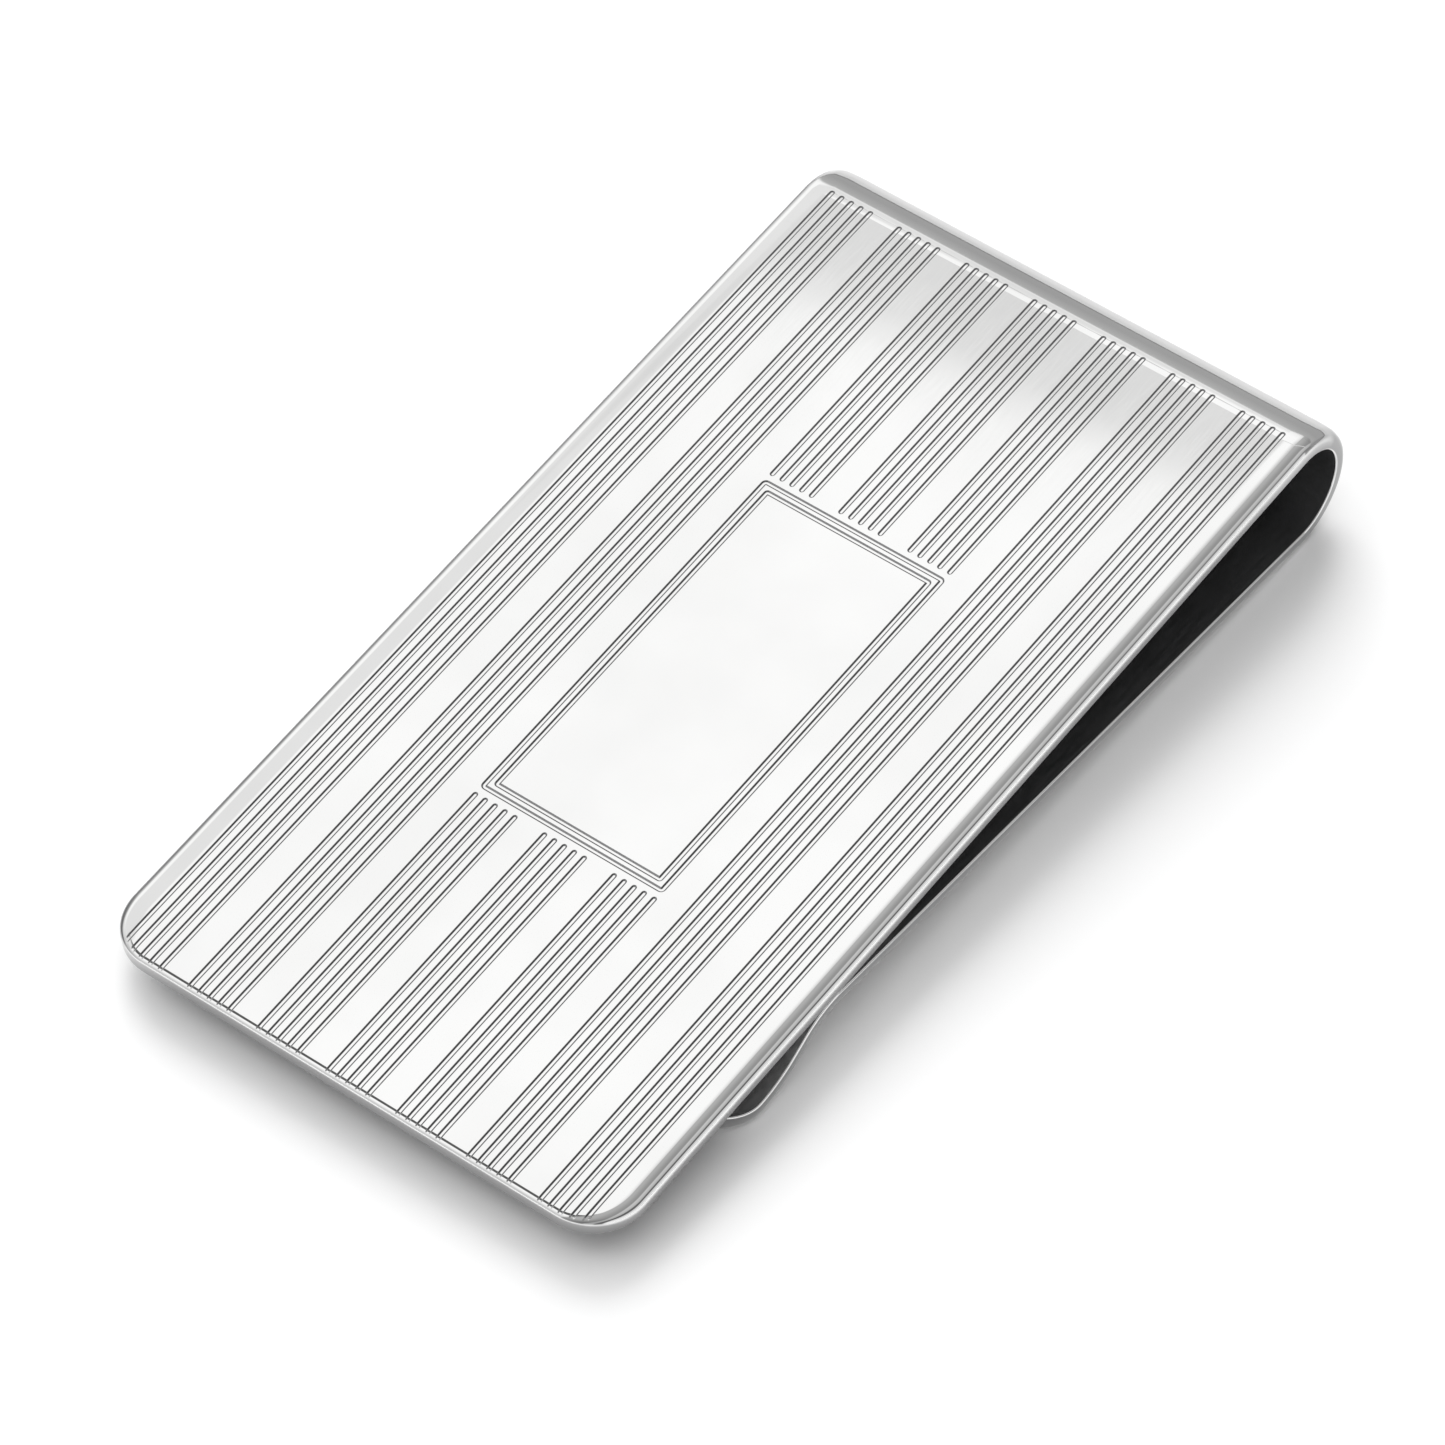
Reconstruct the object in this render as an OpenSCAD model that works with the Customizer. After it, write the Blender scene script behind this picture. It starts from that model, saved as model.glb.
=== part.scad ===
// Spring money clip, bent from one strip of sheet silver.
//
// The strip starts as a flat, engraved front plate, turns round a fold, comes back under the
// plate as a straight spring leg, touches the plate again at a shallow grip bend and ends in
// a turned-down lip with round corners. The clip lies on the outside of its fold and of its
// lip, with the engraved plate on top.
//
// The shapes are drawn in the strip's own frame: X runs across the strip, Y runs along it
// towards the fold, and Z = 0 is the engraved face. Y = 0 is the line where the plate meets
// the fold. at_rest() then lays the clip down on the ground, Z = 0, with its middle over the
// origin.

/* [Strip] */
// Width of the strip
strip_w = 28; // [24:0.5:34]
// Thickness of the sheet
sheet_t = 0.9; // [0.6:0.05:1]
// Width of the bevel along both edges of the outer face
bevel_w = 0.6; // [0.3:0.1:1]
// Drop of that bevel at the strip's edge
bevel_drop = 0.3; // [0.1:0.05:0.4]
// Radius of the corners at both ends of the strip, seen from above
corner_r = 2.7; // [1.5:0.1:4]

/* [Side shape] */
// Length of the whole clip, from the fold's back to the plate's free end
clip_l = 54.3; // [50:0.1:64]
// Outer radius of the fold
fold_r = 3.3; // [2.8:0.1:3.6]
// Distance from the fold's middle to the line where the leg meets the plate
grip_reach = 35.2; // [32:0.2:38]
// Inner radius of the grip bend, on the side that meets the plate
grip_r = 4.2; // [3:0.1:6]
// Gap that is left between the grip bend and the plate
grip_gap = 0.05; // [0.02:0.01:0.2]
// Slope of the lip's ramp below the plate, in degrees
ramp_slope = 27; // [20:1:34]
// Length of the ramp
ramp_l = 1; // [0.5:0.1:2.5]
// Outer radius of the lip's curl
curl_r = 6.5; // [5:0.1:8]
// How far the curl turns up past level, in degrees
curl_up = 22; // [12:1:26]

/* [Engraving] */
// Distance between neighbouring lines
line_pitch = 0.546; // [0.45:0.002:0.57]
// Number of line groups across the plate
group_count = 7; // [5:2:7]
// Number of lines in a group
group_lines = 5; // [3:2:5]
// Line pitches from one group to the next
group_step = 7; // [6:1:7]
// Width of an engraved line
line_w = 0.22; // [0.1:0.02:0.3]
// Depth of an engraved line
line_depth = 0.09; // [0.05:0.01:0.15]
// Distance from the fold at which the lines start
line_start = 0.3; // [0.2:0.1:2]
// Length of the blank panel's outer frame
panel_l = 20.4; // [12:0.2:26]
// Distance from the plate's free end to the middle of the panel
panel_from_end = 25.9; // [22:0.1:28]
// Distance between the two lines of the panel's frame
frame_gap = 0.43; // [0.3:0.01:0.6]
// Plain metal between the panel's frame and the lines that stop at it
frame_clear = 0.4; // [0.3:0.05:0.8]

/* [Hidden] */
$fn = 96;
silver = [0.86, 0.86, 0.88];

// How far a cutter stands clear of the metal that it cuts
over = 0.5;

// How far the middle of a round corner lies outwards of the place where the round would only
// touch the strip's side and end, so that it crosses them at a small angle
corner_shift = 0.02;

// The plate, from the fold line to its free end
plate_l = clip_l - fold_r;

// The middle of the fold, as [y, z]
fold_c = [0, -fold_r];

// The middle of the grip bend, which lies below the leg
grip_c = [-grip_reach, -sheet_t - grip_gap - grip_r];

// The leg's inner face touches the fold's inner circle from below and the grip bend's from
// above, so the two radii and the distance between the middles give its slope.
leg_tangent = norm(grip_c - fold_c);
leg_slope = atan2(grip_c[1] - fold_c[1], grip_reach)
    + asin((fold_r - sheet_t + grip_r) / leg_tangent);
leg_l = sqrt(pow(leg_tangent, 2) - pow(fold_r - sheet_t + grip_r, 2));

// Unit vectors in the side view, as [y, z]: out of the leg's and the ramp's outer faces,
// which look down, and along the ramp away from the fold
leg_out = [-sin(leg_slope), -cos(leg_slope)];
ramp_out = [sin(ramp_slope), -cos(ramp_slope)];
ramp_along = [-cos(ramp_slope), -sin(ramp_slope)];

// Where the leg and the ramp start, on their outer faces, and the middle of the lip's curl
leg_foot = fold_c + fold_r * leg_out;
ramp_foot = grip_c - (grip_r - sheet_t) * ramp_out;
curl_c = ramp_foot + ramp_l * ramp_along - curl_r * ramp_out;

// The lip's last edge, at the outer corner of its turned-up end
lip_end_y = curl_c[0] - curl_r * sin(curl_up);

// The clip lies on two rounds, the fold and the curl, so it leans by the angle of the line
// that touches both from below.
rest_run = fold_c[0] - curl_c[0];
rest_rise = curl_c[1] - fold_c[1];
rest_tilt = atan2(rest_rise, rest_run) - asin((curl_r - fold_r) / norm([rest_run, rest_rise]));

// Both ends of the tilted clip along Y, and its lowest level
rest_back = fold_r * sin(rest_tilt) + fold_r;
rest_front = -plate_l * cos(rest_tilt);
rest_low = -fold_r * cos(rest_tilt) - fold_r;

// Half the number of groups and of lines, counted from the middle one
group_half = (group_count - 1) / 2;
line_half = (group_lines - 1) / 2;

// The panel: the outer frame's long sides fall on the outermost lines of the middle three
// groups
panel_w = 2 * (group_step + line_half) * line_pitch;
panel_y = -(plate_l - panel_from_end);

// ---- Placing ------------------------------------------------------------------------------

// From the strip's frame to the clip lying on the ground
module at_rest() {
    translate([0, -(rest_back + rest_front) / 2, -rest_low])
        rotate([rest_tilt, 0, 0])
            children();
}

// ---- Pieces of strip ----------------------------------------------------------------------

// Corners of the strip's cross-section: x across it, z down from the outer face
function section_points() = [
    [-strip_w / 2, -sheet_t],
    [strip_w / 2, -sheet_t],
    [strip_w / 2, -bevel_drop],
    [strip_w / 2 - bevel_w, 0],
    [-strip_w / 2 + bevel_w, 0],
    [-strip_w / 2, -bevel_drop]
];

// Straight strip that runs from the origin towards -Y, outer face up
module straight_strip(length) {
    rotate([90, 0, 0])
        linear_extrude(height = length)
            polygon(section_points());
}

// Straight strip with its outer face down, from a point [y, z] on that face, climbing by
// slope degrees as it leaves the fold
module underside_strip(start, slope, length) {
    translate([0, start[0], start[1]])
        rotate([-slope, 0, 0])
            rotate([0, 180, 0])
                straight_strip(length);
}

// Bent strip round the X direction through centre [y, z], from one angle to another, counted
// from +Y towards +Z. outer_r is the radius of the outer face, and side is 1 where that face
// looks away from the centre and -1 where it looks at it.
module bent_strip(centre, outer_r, side, from_angle, to_angle) {
    translate([0, centre[0], centre[1]])
        rotate([90, 0, 90])
            rotate([0, 0, from_angle])
                rotate_extrude(angle = to_angle - from_angle)
                    polygon([for (p = section_points()) [outer_r + side * p[1], p[0]]]);
}

// Waste outside the two rounded corners at an end of the strip, seen from above: the end is
// at end_y and the strip lies on its +Y side, between levels low and high
module corner_waste(end_y, low, high) {
    inset = corner_r - corner_shift;
    for (side = [-1, 1])
        translate([side * (strip_w / 2 - inset), end_y + inset, low])
            linear_extrude(height = high - low)
                difference() {
                    translate([side > 0 ? 0 : -corner_r - over, -corner_r - over])
                        square([corner_r + over, corner_r + over]);
                    circle(r = corner_r);
                }
}

// ---- Engraving ----------------------------------------------------------------------------

// One straight V cut in the engraved face, along Y between two places
module line_along(x, from_y, to_y) {
    translate([x, to_y, 0])
        rotate([90, 0, 0])
            linear_extrude(height = to_y - from_y)
                polygon([
                    [0, -line_depth],
                    [line_w, line_depth],
                    [-line_w, line_depth]
                ]);
}

// One straight V cut across the plate at y, as long as the given width
module line_across(y, width) {
    rotate([0, 0, -90])
        line_along(-y, -width / 2, width / 2);
}

// A rectangular frame of four cuts round the panel's middle
module frame_lines(width, length) {
    for (side = [-1, 1]) {
        line_along(side * width / 2, panel_y - length / 2, panel_y + length / 2);
        line_across(panel_y + side * length / 2, width);
    }
}

// Every line of one group: whole lines in the outer groups, and lines that stop short of the
// panel in the middle three
module group_lines_cut(group) {
    free_end = -plate_l - over;
    panel_end = panel_l / 2 + frame_clear;
    for (line = [-line_half : line_half]) {
        x = (group * group_step + line) * line_pitch;
        if (abs(group) > 1) {
            line_along(x, free_end, -line_start);
        } else {
            line_along(x, free_end, panel_y - panel_end);
            line_along(x, panel_y + panel_end, -line_start);
        }
    }
}

// ---- Parts of the clip --------------------------------------------------------------------

// Flat plate that faces the user: groups of fine lines and a blank panel for initials
module front_plate() {
    color(silver)
        at_rest()
            difference() {
                straight_strip(plate_l);
                corner_waste(-plate_l, -sheet_t - over, over);
                for (group = [-group_half : group_half])
                    group_lines_cut(group);
                frame_lines(panel_w, panel_l);
                frame_lines(panel_w - 2 * frame_gap, panel_l - 2 * frame_gap);
            }
}

// Upper half of the fold, which stays with the plate
module fold_upper() {
    color(silver)
        at_rest()
            bent_strip(fold_c, fold_r, 1, 0, 90);
}

// Lower half of the fold, from the fold's back to the leg
module fold_lower() {
    color(silver)
        at_rest()
            bent_strip(fold_c, fold_r, 1, -90 - leg_slope, 0);
}

// Straight spring leg that presses the notes against the plate
module spring_leg() {
    color(silver)
        at_rest()
            underside_strip(leg_foot, leg_slope, leg_l);
}

// Shallow bend that meets the underside of the plate
module grip_bend() {
    color(silver)
        at_rest()
            bent_strip(grip_c, grip_r - sheet_t, -1, 90 - leg_slope, 90 + ramp_slope);
}

// Ramp that leads down and away from the plate, so that the notes slip in
module lip_ramp() {
    color(silver)
        at_rest()
            underside_strip(ramp_foot, -ramp_slope, ramp_l);
}

// Turned-up end of the leg with round corners, on which the clip lies
module lip_curl() {
    color(silver)
        at_rest()
            difference() {
                bent_strip(curl_c, curl_r, 1, -90 - curl_up, -90 + ramp_slope);
                corner_waste(lip_end_y, curl_c[1] - curl_r - over, curl_c[1]);
            }
}

front_plate();
fold_upper();
fold_lower();
spring_leg();
grip_bend();
lip_ramp();
lip_curl();
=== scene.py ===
"""Looks of the spring money clip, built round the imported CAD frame.

The clip is one strip of polished silver sheet. Each piece of it is drawn flat, as a plan of
x (across the strip) and s (along its outer face, from the engraved plate's free end), and then
laid along the clip's side shape. Lengths are in millimetres until a mesh is made.
"""
import math

import bpy
import numpy as np
from mathutils import Matrix, Vector
from mathutils.geometry import delaunay_2d_cdt


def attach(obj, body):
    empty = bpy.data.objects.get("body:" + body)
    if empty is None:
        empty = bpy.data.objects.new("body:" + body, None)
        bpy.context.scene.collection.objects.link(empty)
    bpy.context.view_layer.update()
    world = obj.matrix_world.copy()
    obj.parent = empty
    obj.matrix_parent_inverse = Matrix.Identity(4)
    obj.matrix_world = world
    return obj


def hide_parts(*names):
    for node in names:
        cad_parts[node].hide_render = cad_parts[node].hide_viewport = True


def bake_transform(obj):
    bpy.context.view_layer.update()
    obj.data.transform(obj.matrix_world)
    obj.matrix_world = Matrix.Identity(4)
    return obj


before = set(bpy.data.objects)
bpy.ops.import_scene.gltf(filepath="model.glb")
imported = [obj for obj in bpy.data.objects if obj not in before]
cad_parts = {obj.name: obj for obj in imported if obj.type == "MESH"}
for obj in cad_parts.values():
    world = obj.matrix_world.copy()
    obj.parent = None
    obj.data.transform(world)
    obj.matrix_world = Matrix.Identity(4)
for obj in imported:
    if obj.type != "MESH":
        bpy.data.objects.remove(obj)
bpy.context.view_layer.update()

MM = 0.001               # one millimetre in the scene's metres
FAR = 1e3                # further than anything in a plan
TINY = 1e-9              # all but zero
ON_CUT = 1e-4            # points this close to a cut or to a row lie on it

# ---- The strip and its side shape, as in the CAD model ---------------------------------------

STRIP_W = 28.0       # width of the strip
SHEET_T = 0.9        # thickness of the sheet
CORNER_R = 2.7       # round corners at both ends, seen from above
CLIP_L = 54.3        # from the fold's back to the plate's free end
FOLD_R = 3.3         # outer radius of the fold
GRIP_REACH = 35.2    # from the fold's middle to the line where the leg meets the plate
GRIP_R = 4.2         # inner radius of the grip bend
GRIP_GAP = 0.05      # gap between the grip bend and the plate
RAMP_SLOPE = math.radians(27)
RAMP_L = 1.0
CURL_R = 6.5         # outer radius of the lip's curl
CURL_UP = math.radians(22)

PLATE_L = CLIP_L - FOLD_R
HALF_W = STRIP_W / 2


def along(angle):
    """Unit vector in the side view, [y, z], at an angle counted from +Y towards +Z."""
    return np.array([math.cos(angle), math.sin(angle)])


FOLD_C = np.array([0.0, -FOLD_R])
GRIP_C = np.array([-GRIP_REACH, -SHEET_T - GRIP_GAP - GRIP_R])
LEG_TANGENT = np.linalg.norm(GRIP_C - FOLD_C)
LEG_SLOPE = (math.atan2(GRIP_C[1] - FOLD_C[1], GRIP_REACH)
             + math.asin((FOLD_R - SHEET_T + GRIP_R) / LEG_TANGENT))
LEG_L = math.sqrt(LEG_TANGENT ** 2 - (FOLD_R - SHEET_T + GRIP_R) ** 2)
LEG_OUT = along(-math.pi / 2 - LEG_SLOPE)
RAMP_OUT = along(-math.pi / 2 + RAMP_SLOPE)
RAMP_WAY = along(math.pi + RAMP_SLOPE)
LEG_FOOT = FOLD_C + FOLD_R * LEG_OUT
RAMP_FOOT = GRIP_C - (GRIP_R - SHEET_T) * RAMP_OUT
CURL_C = RAMP_FOOT + RAMP_L * RAMP_WAY - CURL_R * RAMP_OUT

REST_RUN = FOLD_C[0] - CURL_C[0]
REST_RISE = CURL_C[1] - FOLD_C[1]
REST_TILT = (math.atan2(REST_RISE, REST_RUN)
             - math.asin((CURL_R - FOLD_R) / math.hypot(REST_RUN, REST_RISE)))
REST_BACK = FOLD_R * math.sin(REST_TILT) + FOLD_R
REST_FRONT = -PLATE_L * math.cos(REST_TILT)
REST_LOW = -FOLD_R * math.cos(REST_TILT) - FOLD_R


def straight(start, way, length):
    """Straight stretch of the outer face: where it starts, the way it runs, and its length."""
    return {"start": start, "way": way, "length": length}


def bend(centre, radius, side, start, end):
    """Round stretch of the outer face, which looks away from the centre where side is 1."""
    return {"centre": centre, "radius": radius, "side": side, "from": start, "to": end,
            "length": radius * abs(end - start)}


STRETCHES = [
    straight(np.array([-PLATE_L, 0.0]), along(0), PLATE_L),
    bend(FOLD_C, FOLD_R, 1, math.pi / 2, -math.pi / 2 - LEG_SLOPE),
    straight(LEG_FOOT, along(math.pi - LEG_SLOPE), LEG_L),
    bend(GRIP_C, GRIP_R - SHEET_T, -1, math.pi / 2 - LEG_SLOPE, math.pi / 2 + RAMP_SLOPE),
    straight(RAMP_FOOT, RAMP_WAY, RAMP_L),
    bend(CURL_C, CURL_R, 1, -math.pi / 2 + RAMP_SLOPE, -math.pi / 2 - CURL_UP),
]
STARTS = np.concatenate([[0.0], np.cumsum([stretch["length"] for stretch in STRETCHES])])
PLATE_END, FOLD_END, LEG_END, GRIP_END, RAMP_END, LIP_END = STARTS[1:]


def side_place(s):
    """Point of the outer face, the way along it and the way out of it, all as [y, z], for an
    array of lengths s."""
    point = np.zeros((len(s), 2))
    way = np.zeros((len(s), 2))
    out = np.zeros((len(s), 2))
    which = np.clip(np.searchsorted(STARTS, s, side="right") - 1, 0, len(STRETCHES) - 1)
    for number, stretch in enumerate(STRETCHES):
        mine = which == number
        run = (s[mine] - STARTS[number])[:, None]
        if "way" in stretch:
            heading = stretch["way"]
            point[mine] = stretch["start"] + run * heading
            way[mine] = heading
            out[mine] = [-heading[1], heading[0]]
        else:
            turn = 1 if stretch["to"] > stretch["from"] else -1
            angle = stretch["from"] + turn * run[:, 0] / stretch["radius"]
            spoke = np.stack([np.cos(angle), np.sin(angle)], axis=1)
            point[mine] = stretch["centre"] + stretch["radius"] * spoke
            way[mine] = turn * np.stack([-spoke[:, 1], spoke[:, 0]], axis=1)
            out[mine] = stretch["side"] * spoke
    return point, way, out


def to_rest(yz):
    """Turns [y, z] vectors of the strip's frame by the tilt at which the clip lies."""
    c, n = math.cos(REST_TILT), math.sin(REST_TILT)
    return np.stack([yz[:, 0] * c - yz[:, 1] * n, yz[:, 0] * n + yz[:, 1] * c], axis=1)


def lay(x, s, h):
    """Lays plan points at height h over the outer face along the side shape. Gives their places
    in the scene, in metres, and the ways along the face and out of it there, as [y, z]."""
    point, way, out = side_place(s)
    yz = to_rest(point + h[:, None] * out)
    place = np.stack([x, yz[:, 0] - (REST_BACK + REST_FRONT) / 2, yz[:, 1] - REST_LOW], axis=1)
    return place * MM, to_rest(way), to_rest(out)


# ---- The rim that runs round the strip --------------------------------------------------------

RIM_SIDE_W = 1.3                   # width of the rim along the strip's sides
RIM_END_W = 0.6                    # and across its ends
ROLL_W = 0.66                      # width of the roll-off along the sides
ROLL_TURN = math.radians(5)        # how far the rim has turned at its end
BEVEL_W = 0.44                     # width of the bevel
BEVEL_TURN = math.radians(28)      # and the turn at its end
INNER_EDGE_R = 0.1                 # radius of the edge between the wall and the inner face
INNER_STEPS = 3                    # steps round that edge


def rim_arcs():
    """The rim in section, from the face to the wall, as arcs: where each starts and ends its
    turn, its radius, and the width and drop at which it starts. A long, all but flat roll-off
    comes first, then the bevel, then the tight edge."""
    turns = [0, ROLL_TURN, BEVEL_TURN, math.radians(90)]
    widths = [ROLL_W, BEVEL_W, RIM_SIDE_W - ROLL_W - BEVEL_W]
    arcs, width, drop = [], 0.0, 0.0
    for start, end, share in zip(turns, turns[1:], widths):
        radius = share / (math.sin(end) - math.sin(start))
        arcs.append((start, end, radius, width, drop))
        width += share
        drop += radius * (math.cos(start) - math.cos(end))
    return arcs


RIM_ARCS = rim_arcs()
RIM_STEPS = (2, 7, 6)              # steps round each arc
SKIN = 0.003                       # how far the outer face lies inside the CAD model's


def rim_share(turn):
    """Share of the rim's width, counted from its outer edge, at which it has turned by turn."""
    for start, end, radius, width, _ in RIM_ARCS:
        if turn <= end:
            break
    return 1 - (width + radius * (math.sin(turn) - math.sin(start))) / RIM_SIDE_W


def rim_turn(share):
    """The other way round, for an array of shares: 0 on the face, a right angle at the edge."""
    run = (1 - np.clip(share, 0, 1)) * RIM_SIDE_W
    turn = np.zeros(len(run))
    for start, _, radius, width, _ in RIM_ARCS:
        here = np.arcsin(np.clip((run - width) / radius + math.sin(start), 0, 1))
        turn = np.where(run >= width, here, turn)
    return turn


def rim_drop(turn):
    """Drop below the face where a side's rim has turned by turn."""
    drop = np.zeros(len(turn))
    for start, _, radius, _, above in RIM_ARCS:
        drop = np.where(turn >= start, above + radius * (math.cos(start) - np.cos(turn)), drop)
    return drop


# ---- Tones: how much painted shade darkens each point, from 0 to 1 -----------------------------

# Every tone is painted shade: it darkens the silver's colour where the clip shows dark reflections
# or lies in shade.
EDGE_TURN = math.radians(40)       # turn of the rim at which a thin painted dark line runs, painted shade for a dark reflection
EDGE_REACH = math.radians(18)      # the turn over which it fades on either side
EDGE_TONE = 0.5
LEFT_TURN = math.radians(6)        # what the strip's left side, where the painted dark line is widest, adds to each of the three
LEFT_REACH = math.radians(10)
LEFT_TONE = 0.5
EDGE_PEAK = 1.8                    # above 1, so that the line is even in its middle

WALL_TONE = 0.62                   # painted shade of the cut wall at its top, for the shaded floor that it reflects
WALL_FOOT_TONE = 0.8               # and at its foot
WALL_TURN = 60                     # degrees of the rim's turn at which it sets in
WALL_TURN_RUN = 25                 # degrees over which it comes in
INNER_EDGE_TONE = 0.1              # painted shade of the edge between the wall and the inner face, kept slight
INNER_TONE = 0.92                  # painted shade of the inner face in the gap, where shade falls between plate and leg
INNER_TONE_RUN = 8.0               # length before the grip's end over which it goes

# Painted shade on the fold's outer face, for the shaded floor that it reflects: the length after
# the plate's end at which each tone starts, the length over which it comes in, and its strength.
BEND_SHADES = ((0.45, 0.8, 0.33), (1.9, 0.5, 0.12), (2.4, 0.6, 0.32))
BEND_SHADE_RUN_OUT = 0.8            # length before the fold's end over which they go


def edge_shade_line(turn, way_x):
    """Tone of the thin painted dark line where the bevel meets the wall: painted shade that stands
    in for a dark reflection there. It is widest and darkest along the strip's left side, where
    way_x, the way out, is -1."""
    left = np.clip(-way_x, 0, 1)
    middle = EDGE_TURN + LEFT_TURN * left
    reach = EDGE_REACH + LEFT_REACH * left
    fade = np.clip(EDGE_PEAK - EDGE_PEAK * np.abs(turn - middle) / reach, 0, 1)
    return (EDGE_TONE + LEFT_TONE * left) * fade


def wall_shade(turn):
    """Painted shade of the rim's outermost stretch, where it turns into the cut wall: it stands
    in for the shaded floor that the wall reflects.
    """
    return WALL_TONE * np.clip((np.degrees(turn) - WALL_TURN) / WALL_TURN_RUN, 0, 1)


def bend_shade(s):
    """Painted shade of the fold's outer face at lengths s, for the shaded floor that it reflects."""
    fall = np.clip((FOLD_END - s) / BEND_SHADE_RUN_OUT, 0, 1)
    return fall * sum(strength * np.clip((s - PLATE_END - start) / run, 0, 1)
                      for start, run, strength in BEND_SHADES)


def inner_shade(s):
    """Painted shade of the inner face at lengths s: dark in the shaded gap, none on the lip."""
    return INNER_TONE * np.clip((GRIP_END - s) / INNER_TONE_RUN, 0, 1)


# ---- Plan of a piece of strip ------------------------------------------------------------------

CORNER_STEPS = 24        # steps round a corner of the outline
WIDEST_SHARE = 1.5       # shares of the rim's width are looked for up to this one
HALVINGS = 26            # steps of that search


class Outline:
    """Plan of one piece of strip, from start to end, with round corners where it ends free."""

    def __init__(self, start, end, round_start=False, round_end=False):
        self.start, self.end = start, end
        self.round_start, self.round_end = round_start, round_end

    def from_free_end(self, s):
        """Distance to the nearest free end, far away where there is none."""
        distance = np.full(len(s), FAR)
        if self.round_start:
            distance = np.minimum(distance, s - self.start)
        if self.round_end:
            distance = np.minimum(distance, self.end - s)
        return distance

    def curve(self, share):
        """Half of the curve at one share of the rim's width, for x > 0, from start to end."""
        side = HALF_W - share * RIM_SIDE_W
        turns = [k / CORNER_STEPS * math.pi / 2 for k in range(CORNER_STEPS + 1)]
        reach_x = CORNER_R - share * RIM_SIDE_W
        reach_s = CORNER_R - share * RIM_END_W
        corner = [(HALF_W - CORNER_R + reach_x * math.sin(turn), CORNER_R - reach_s * math.cos(turn))
                  for turn in turns]
        points = [(side, self.start)]
        if self.round_start:
            points = [(x, self.start + d) for x, d in corner]
        if self.round_end:
            return points + [(x, self.end - d) for x, d in reversed(corner)]
        return points + [(side, self.end)]

    def share(self, x, s):
        """Share of the rim's width at a plan point: 0 on the outline, 1 and more on the face."""
        x = np.abs(x)
        d = self.from_free_end(s)
        side = (HALF_W - x) / RIM_SIDE_W
        end = d / RIM_END_W
        in_corner = (x > HALF_W - CORNER_R) & (d < CORNER_R)
        low, high = np.zeros(len(x)), np.full(len(x), WIDEST_SHARE)
        for _ in range(HALVINGS):  # halve the range in which the corner's curve passes the point
            middle = (low + high) / 2
            outside = (((x - HALF_W + CORNER_R) / (CORNER_R - middle * RIM_SIDE_W)) ** 2
                       + ((CORNER_R - d) / (CORNER_R - middle * RIM_END_W)) ** 2) > 1
            high = np.where(outside, middle, high)
            low = np.where(outside, low, middle)
        return np.where(in_corner, low, np.minimum(side, end))

    def outward(self, x, s):
        """Way out of the outline, in the plan, and the rim's width there."""
        d = self.from_free_end(s)
        over_x = np.clip((np.abs(x) - HALF_W + CORNER_R) / CORNER_R, 0, 1)
        over_s = np.clip((CORNER_R - d) / CORNER_R, 0, 1)
        at_start = self.round_start & ((s - self.start < self.end - s) | (not self.round_end))
        end_sign = np.where(at_start, -1.0, 1.0)
        square = (over_s <= 0) | (d > CORNER_R)
        way_x = np.where(square, 1.0, over_x) * np.sign(x)
        way_s = np.where(square, 0.0, over_s) * end_sign
        size = np.maximum(np.hypot(way_x, way_s), TINY)
        way_x, way_s = way_x / size, way_s / size
        return way_x, way_s, RIM_SIDE_W * way_x ** 2 + RIM_END_W * way_s ** 2


# ---- Engraving ---------------------------------------------------------------------------------

LINE_PITCH = 0.546       # from one line to the next
GROUP_HALF = 3           # groups on each side of the middle one
LINE_HALF = 2            # lines on each side of a group's middle one
GROUP_STEP = 7           # pitches from one group to the next
FLOOR_HALF = 0.045       # half the width of a line's flat floor
LIP_HALF = 0.14          # half its width at the face
LINE_DEPTH = 0.05
STEEPEST = 1.5 * LINE_DEPTH / (LIP_HALF - FLOOR_HALF)  # slope halfway up a line's wall
LINE_WALL_SHADE = 0.92      # how much painted shade the walls of a line take, for the dark reflections in them
LINE_SHADE_RISE = 1.6       # above 1, so that most of a wall takes all of it
LINE_START = -1.0        # the lines run out over the plate's free end
LINE_RUN_ON = 0.45       # how far they run into the fold
PANEL_L = 20.4
PANEL_S = 25.9           # from the plate's free end to the panel's middle
PANEL_W = 2 * (GROUP_STEP + LINE_HALF) * LINE_PITCH
SPLIT_GROUPS = 1         # groups on each side of the middle one that the panel splits
FRAME_GAP = 0.43         # from the outer frame to the inner one
FRAME_CLEAR = 0.4        # from the outer frame to the lines' ends
FRAME_CORNER_R = 0.12    # round corners of the panel's frames
FRAME_CORNER_STEPS = 4   # steps round such a corner
LEAST_R = 0.01           # the tightest corner of a curve in the mesh
WALL_STEPS = 4           # steps up the wall of a line
LINE_END_STEPS = 6       # steps round a line's round end
RIM_CLEAR = 0.15         # share of the rim's width at which the engraving sets in
RIM_CLEAR_RUN = 0.35     # share over which it reaches its depth
NUDGE = 1e-4             # distance over which the engraving's slope is measured


def line_rows():
    """Every straight line of the groups, as (x, from s, to s)."""
    last = PLATE_END + LINE_RUN_ON - LIP_HALF
    stop = PANEL_L / 2 + FRAME_CLEAR + LIP_HALF
    rows = []
    for group in range(-GROUP_HALF, GROUP_HALF + 1):
        for line in range(-LINE_HALF, LINE_HALF + 1):
            x = (group * GROUP_STEP + line) * LINE_PITCH
            if abs(group) > SPLIT_GROUPS:
                rows.append((x, LINE_START, last))
            else:
                rows.append((x, LINE_START, PANEL_S - stop))
                rows.append((x, PANEL_S + stop, last))
    return rows


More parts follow.
